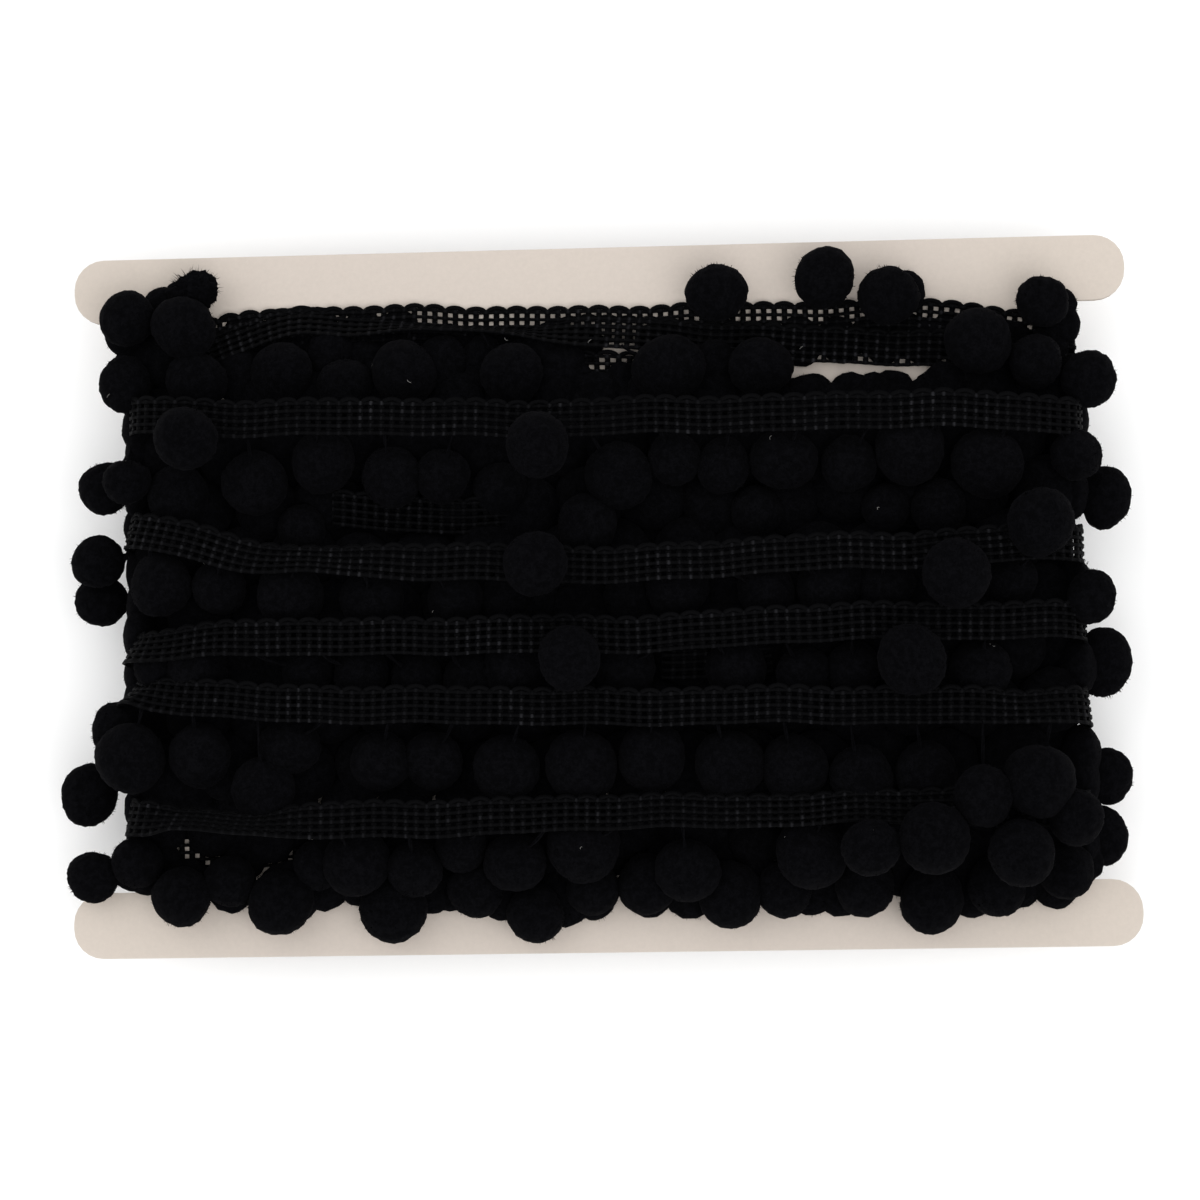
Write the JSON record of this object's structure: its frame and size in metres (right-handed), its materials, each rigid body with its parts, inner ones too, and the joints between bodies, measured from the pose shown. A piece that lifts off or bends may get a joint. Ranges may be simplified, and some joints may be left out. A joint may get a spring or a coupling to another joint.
{
  "type": "pompom fringe trim wound on a card",
  "caption": "Woven tape trim with a row of hanging yarn pompoms, wound flat round a blank board card with rounded ears.",
  "frame": {"origin": "on the surface that the wound trim lies on, under the middle of its bounding box", "axes": "+X along the card's length, +Y up the card towards its upper strip, +Z out of the card's front face"},
  "size_m": [0.271, 0.178, 0.055],
  "materials": {
    "board": "uncoated off-white board, slightly warm",
    "trim": "matt black yarn, brushed pompoms on an open woven tape"
  },
  "bodies": {
    "root": {"card": "board", "inner_winding": "trim", "turn_1": "trim", "turn_2": "trim", "turn_3": "trim", "turn_4": "trim", "turn_5": "trim", "turn_6": "trim", "turn_7": "trim", "turn_8": "trim"}
  },
  "joints": []
}
